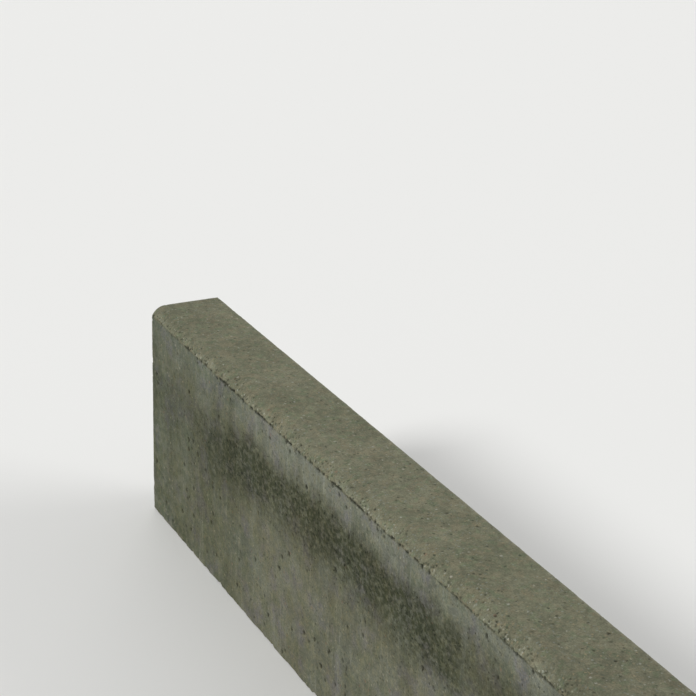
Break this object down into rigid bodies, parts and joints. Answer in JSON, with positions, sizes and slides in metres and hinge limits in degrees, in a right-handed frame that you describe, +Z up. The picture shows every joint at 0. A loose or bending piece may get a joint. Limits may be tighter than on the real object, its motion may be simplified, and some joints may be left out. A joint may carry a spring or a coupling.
{
  "type": "concrete kerb stone",
  "caption": "Precast concrete kerb stone: a long upright slab with a flat top, one rounded top edge that ends in a mould seam, and plain square ends, back and base.",
  "frame": {"origin": "the middle of the base, which rests on the bedding or the floor", "axes": "+X along the stone, +Y from the rounded front face to the plain back face, +Z up to the flat top"},
  "size_m": [1, 0.08, 0.25],
  "materials": {
    "concrete": "fair-faced grey precast concrete, matt, with sand grains, small air pits and damp soil marks"
  },
  "bodies": {
    "root": {"kerb_stone": "concrete"}
  },
  "joints": []
}
